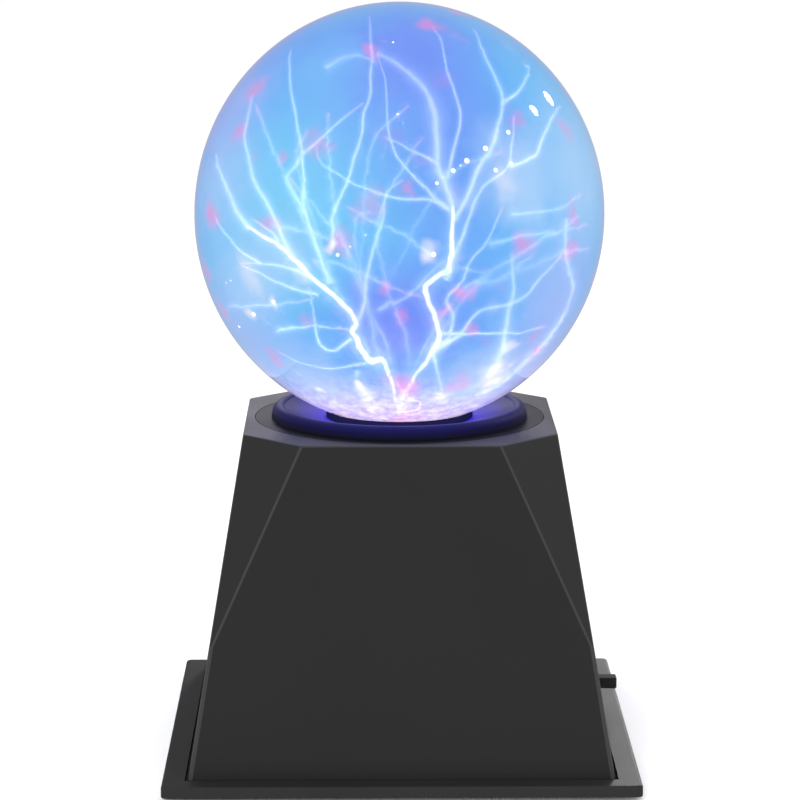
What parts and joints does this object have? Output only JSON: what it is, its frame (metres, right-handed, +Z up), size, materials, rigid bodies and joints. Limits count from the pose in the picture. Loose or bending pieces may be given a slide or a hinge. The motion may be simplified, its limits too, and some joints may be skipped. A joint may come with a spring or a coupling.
{
  "type": "plasma ball lamp",
  "caption": "Plasma ball lamp: gas-filled glass globe with a central electrode on a black tapered square base with corner facets, a side slide switch and a rear power socket.",
  "frame": {"origin": "on the surface that the lamp stands on, under the globe's vertical axis, at the underside of the feet", "axes": "+Z up along the globe's axis, -Y towards the front face, +X towards the power switch, +Y towards the power socket"},
  "size_m": [0.172, 0.172, 0.2787],
  "materials": {
    "clear_glass": "polished clear",
    "electrode_fill": "dull metal wool",
    "black_case_plastic": "fine matt texture",
    "black_plate_plastic": "satin",
    "black_collar_plastic": "semi gloss",
    "black_rubber": "matt",
    "grey_foam": "foam",
    "silicone_rubber": "matt",
    "white_nylon": "satin",
    "zinc_screws": "zinc plated",
    "plated_sheet_steel": "plated",
    "phenolic": "matt",
    "contact_brass": "bright",
    "knob_plastic": "satin",
    "jack_plastic": "semi gloss",
    "nickel_plate": "bright",
    "board_laminate": "solder mask",
    "ferrite": "matt",
    "coil_tape": "taped",
    "enamelled_wire": "enamel",
    "moulded_black": "moulded",
    "extruded_aluminium": "extruded",
    "capacitor_sleeve": "shrink sleeve",
    "film_capacitor_skin": "dipped",
    "resistor_body": "satin",
    "microphone_can": "satin",
    "red_lead": "insulation",
    "black_lead": "insulation",
    "grey_lead": "insulation"
  },
  "bodies": {
    "lamp_base": {"globe_glass": "clear_glass", "electrode_stem": "clear_glass", "electrode_core": "electrode_fill", "body_shell": "black_case_plastic", "bottom_plate": "black_plate_plastic", "globe_collar": "black_collar_plastic", "foot_front_left": "black_rubber", "foot_front_right": "black_rubber", "foot_rear_left": "black_rubber", "foot_rear_right": "black_rubber", "neck_grommet": "black_rubber", "globe_gasket": "grey_foam", "neck_boot": "silicone_rubber", "neck_retainer": "white_nylon", "power_header": "white_nylon", "power_plug": "white_nylon", "switch_header": "white_nylon", "switch_plug": "white_nylon", "collar_screws": "zinc_screws", "plate_screws": "zinc_screws", "board_screws": "zinc_screws", "switch_screws": "zinc_screws", "transistor_screw": "zinc_screws", "switch_frame": "plated_sheet_steel", "core_strap": "plated_sheet_steel", "switch_base": "phenolic", "switch_terminals": "contact_brass", "electrode_contact": "contact_brass", "dc_jack_contact": "contact_brass", "dc_jack_housing": "jack_plastic", "dc_jack_pin": "nickel_plate", "dc_jack_nut": "nickel_plate", "circuit_board": "board_laminate", "ferrite_core_lower": "ferrite", "ferrite_core_upper": "ferrite", "secondary_coil": "coil_tape", "primary_coil": "enamelled_wire", "transformer_base": "moulded_black", "power_transistor": "moulded_black", "driver_chip": "moulded_black", "diode": "moulded_black", "heat_sink": "extruded_aluminium", "main_capacitor": "capacitor_sleeve", "small_capacitor": "capacitor_sleeve", "film_capacitor": "film_capacitor_skin", "resistors": "resistor_body", "microphone": "microphone_can", "power_lead_red": "red_lead", "hv_lead": "red_lead", "power_lead_black": "black_lead", "switch_lead_1": "grey_lead", "switch_lead_2": "grey_lead", "switch_lead_3": "grey_lead"},
    "switch_slider": {"switch_actuator": "knob_plastic", "switch_wiper": "contact_brass"}
  },
  "joints": [
    {"name": "switch_slide", "type": "slide", "parent": "lamp_base", "child": "switch_slider", "axis": [0, 1, 0], "range_m": [-0.008, 0]}
  ]
}
